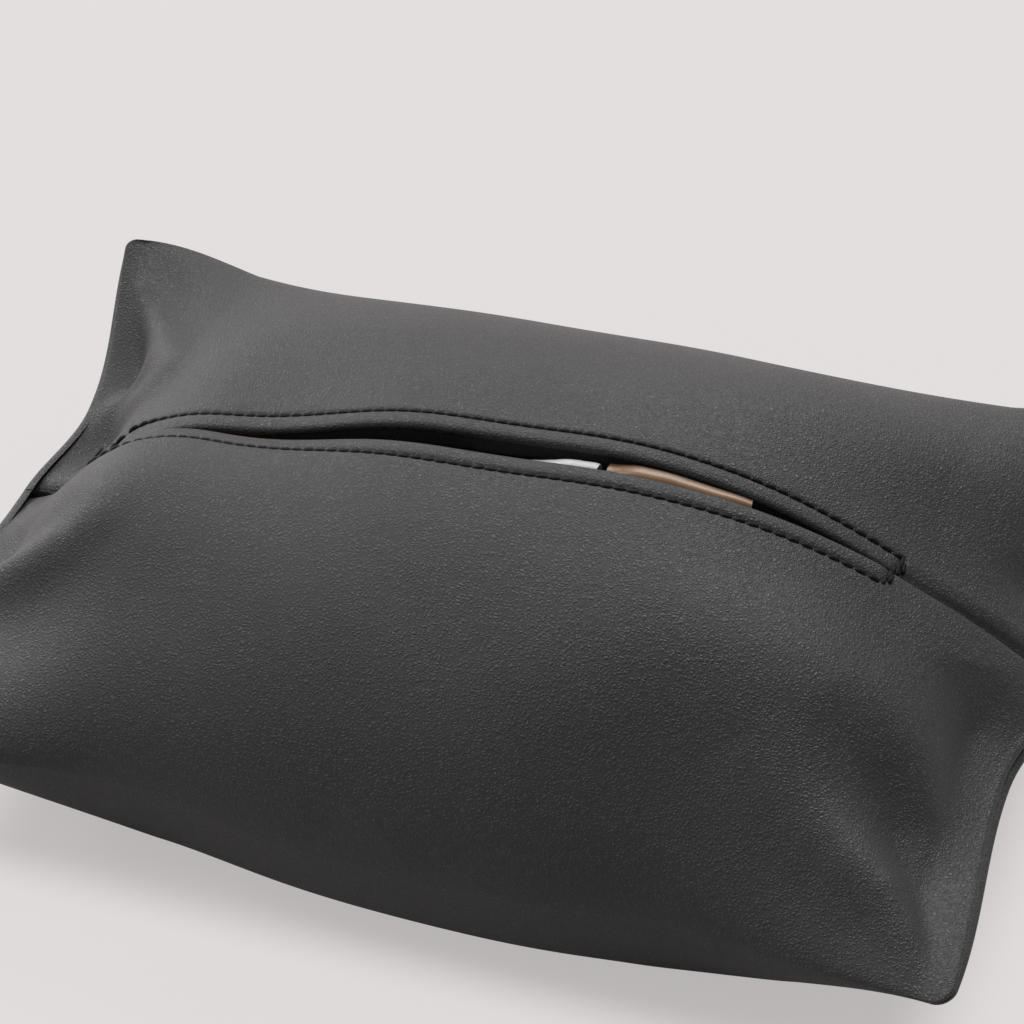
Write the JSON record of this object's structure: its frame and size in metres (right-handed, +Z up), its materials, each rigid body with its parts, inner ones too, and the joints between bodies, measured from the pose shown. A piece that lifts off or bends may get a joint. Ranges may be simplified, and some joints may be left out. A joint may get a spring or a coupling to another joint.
{
  "type": "car tissue holder",
  "caption": "Soft leather pillow pouch for a tissue pack, with a stitched slit along its crown and a refill flap with press studs in its base.",
  "frame": {"origin": "on the surface that the pouch rests on, under the middle of the pouch", "axes": "+X along the pouch to its right end, +Y to its rear, +Z up"},
  "size_m": [0.2394, 0.16, 0.071],
  "materials": {
    "leather": "fine pebbled grain, low sheen",
    "leather_back": "turned-in leather, matt",
    "stud_metal": "dark plated",
    "pack_film": "satin tan film",
    "tissue": "soft matt"
  },
  "bodies": {
    "pouch": {"front_panel": "leather", "rear_panel": "leather", "front_slit_hem": "leather_back", "rear_slit_hem": "leather_back", "base_underlap": "leather", "snap_stud_left": "stud_metal", "snap_post_left": "stud_metal", "snap_stud_right": "stud_metal", "snap_post_right": "stud_metal", "tissue_pack_film": "pack_film", "tissue_stack": "tissue"},
    "flap": {"base_flap": "leather", "snap_cap_left": "stud_metal", "snap_socket_left": "stud_metal", "snap_cap_right": "stud_metal", "snap_socket_right": "stud_metal"},
    "tissue": {"top_tissue": "tissue"}
  },
  "joints": [
    {"name": "flap_hinge", "type": "hinge", "parent": "pouch", "child": "flap", "pos_m": [0, -0.02985, 0.0017], "axis": [-1, 0, 0], "range_deg": [0, 140]},
    {"name": "tissue_slide", "type": "slide", "parent": "pouch", "child": "tissue", "axis": [0, 0, 1], "range_m": [0, 0.06]}
  ]
}
